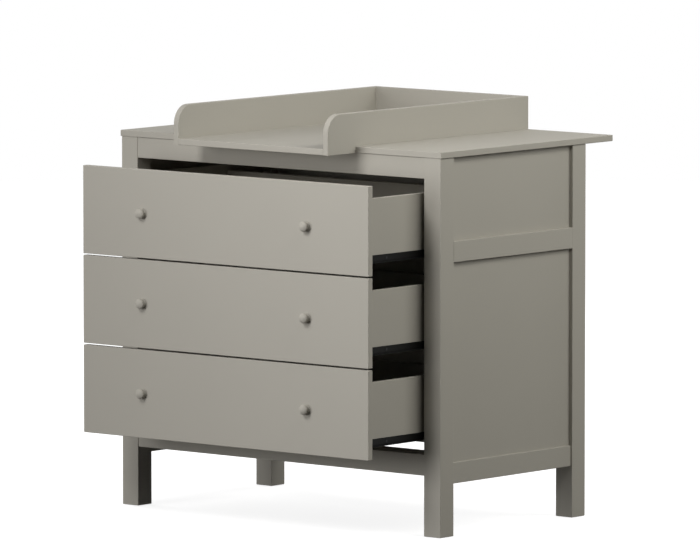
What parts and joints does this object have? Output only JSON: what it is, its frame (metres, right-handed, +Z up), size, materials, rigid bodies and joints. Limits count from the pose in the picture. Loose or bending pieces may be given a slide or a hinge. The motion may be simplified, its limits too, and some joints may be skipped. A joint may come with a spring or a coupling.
{
  "type": "changing dresser",
  "caption": "Low chest of wide inset drawers on roller runners, on square post legs, with a deep top and a lift-off changing tray with raised sides.",
  "frame": {"origin": "on the floor, under the middle of the outline of the dresser as it stands with its drawers part open", "axes": "+Z up; the front with the drawers faces -Y; +X to the right seen from the front"},
  "size_m": [1, 0.8644, 0.99],
  "materials": {
    "painted_board": "fibreboard with a satin warm-grey lacquer",
    "painted_beech": "solid wood with a satin warm-grey lacquer",
    "painted_hardboard": "thin hardboard with a satin warm-grey lacquer",
    "painted_knob": "turned wood with a satin warm-grey lacquer",
    "beech_dowel": "raw fluted beech",
    "zinc_screw": "zinc-plated steel",
    "black_screw": "black-coated steel",
    "runner_steel": "black epoxy-coated steel",
    "roller_nylon": "moulded black nylon",
    "glide_plastic": "moulded grey plastic"
  },
  "bodies": {
    "cabinet": {"top_panel": "painted_board", "post_front_left": "painted_beech", "post_front_right": "painted_beech", "post_rear_left": "painted_beech", "post_rear_right": "painted_beech", "front_rail_lower": "painted_beech", "front_rail_upper": "painted_beech", "rear_rail_lower": "painted_beech", "rear_rail_upper": "painted_beech", "side_rail_lower_left": "painted_beech", "side_rail_middle_left": "painted_beech", "side_panel_lower_left": "painted_board", "side_panel_upper_left": "painted_board", "side_rail_lower_right": "painted_beech", "side_rail_middle_right": "painted_beech", "side_panel_lower_right": "painted_board", "side_panel_upper_right": "painted_board", "back_panel": "painted_hardboard", "rail_dowels": "beech_dowel", "top_screws": "zinc_screw", "runner_screws": "black_screw", "foot_glides": "glide_plastic", "cabinet_runners_bottom": "runner_steel", "cabinet_runners_middle": "runner_steel", "cabinet_runners_top": "runner_steel"},
    "drawer_bottom": {"drawer_bottom_front": "painted_board", "drawer_bottom_side_left": "painted_board", "drawer_bottom_side_right": "painted_board", "drawer_bottom_back": "painted_board", "drawer_bottom_bottom": "painted_hardboard", "drawer_bottom_runners": "runner_steel", "drawer_bottom_knobs": "painted_knob", "drawer_bottom_fixings": "black_screw"},
    "cabinet_rollers_bottom": {"cabinet_rollers_bottom": "roller_nylon"},
    "drawer_bottom_rollers": {"drawer_bottom_rollers": "roller_nylon"},
    "drawer_middle": {"drawer_middle_front": "painted_board", "drawer_middle_side_left": "painted_board", "drawer_middle_side_right": "painted_board", "drawer_middle_back": "painted_board", "drawer_middle_bottom": "painted_hardboard", "drawer_middle_runners": "runner_steel", "drawer_middle_knobs": "painted_knob", "drawer_middle_fixings": "black_screw"},
    "cabinet_rollers_middle": {"cabinet_rollers_middle": "roller_nylon"},
    "drawer_middle_rollers": {"drawer_middle_rollers": "roller_nylon"},
    "drawer_top": {"drawer_top_front": "painted_board", "drawer_top_side_left": "painted_board", "drawer_top_side_right": "painted_board", "drawer_top_back": "painted_board", "drawer_top_bottom": "painted_hardboard", "drawer_top_runners": "runner_steel", "drawer_top_knobs": "painted_knob", "drawer_top_fixings": "black_screw"},
    "cabinet_rollers_top": {"cabinet_rollers_top": "roller_nylon"},
    "drawer_top_rollers": {"drawer_top_rollers": "roller_nylon"},
    "changing_tray": {"tray_side_left": "painted_board", "tray_side_right": "painted_board", "tray_back": "painted_board", "tray_front_shelf": "painted_board", "tray_dowels": "beech_dowel"}
  },
  "joints": [
    {"name": "drawer_bottom_slide", "type": "slide", "parent": "cabinet", "child": "drawer_bottom", "axis": [0, -1, 0], "range_m": [-0.2, 0.175]},
    {"name": "cabinet_rollers_bottom_spin", "type": "hinge", "parent": "cabinet", "child": "cabinet_rollers_bottom", "pos_m": [0, -0.18175, 0.219], "axis": [1, 0, 0], "range_deg": [-1208, 1208]},
    {"name": "drawer_bottom_rollers_spin", "type": "hinge", "parent": "drawer_bottom", "child": "drawer_bottom_rollers", "pos_m": [0, 0.08825, 0.2172], "axis": [1, 0, 0], "range_deg": [-1208, 1208]},
    {"name": "drawer_middle_slide", "type": "slide", "parent": "cabinet", "child": "drawer_middle", "axis": [0, -1, 0], "range_m": [-0.2, 0.175]},
    {"name": "cabinet_rollers_middle_spin", "type": "hinge", "parent": "cabinet", "child": "cabinet_rollers_middle", "pos_m": [0, -0.18175, 0.43433], "axis": [1, 0, 0], "range_deg": [-1208, 1208]},
    {"name": "drawer_middle_rollers_spin", "type": "hinge", "parent": "drawer_middle", "child": "drawer_middle_rollers", "pos_m": [0, 0.08825, 0.43253], "axis": [1, 0, 0], "range_deg": [-1208, 1208]},
    {"name": "drawer_top_slide", "type": "slide", "parent": "cabinet", "child": "drawer_top", "axis": [0, -1, 0], "range_m": [-0.2, 0.175]},
    {"name": "cabinet_rollers_top_spin", "type": "hinge", "parent": "cabinet", "child": "cabinet_rollers_top", "pos_m": [0, -0.18175, 0.64967], "axis": [1, 0, 0], "range_deg": [-1208, 1208]},
    {"name": "drawer_top_rollers_spin", "type": "hinge", "parent": "drawer_top", "child": "drawer_top_rollers", "pos_m": [0, 0.08825, 0.64787], "axis": [1, 0, 0], "range_deg": [-1208, 1208]},
    {"name": "changing_tray_lift", "type": "slide", "parent": "cabinet", "child": "changing_tray", "axis": [0, 0, 1], "range_m": [0, 0.12]}
  ],
  "couplings": [
    {"joint": "cabinet_rollers_bottom_spin", "follows": "drawer_bottom_slide", "rad_per_m": 105.26},
    {"joint": "drawer_bottom_rollers_spin", "follows": "drawer_bottom_slide", "rad_per_m": 105.26},
    {"joint": "cabinet_rollers_middle_spin", "follows": "drawer_middle_slide", "rad_per_m": 105.26},
    {"joint": "drawer_middle_rollers_spin", "follows": "drawer_middle_slide", "rad_per_m": 105.26},
    {"joint": "cabinet_rollers_top_spin", "follows": "drawer_top_slide", "rad_per_m": 105.26},
    {"joint": "drawer_top_rollers_spin", "follows": "drawer_top_slide", "rad_per_m": 105.26}
  ]
}
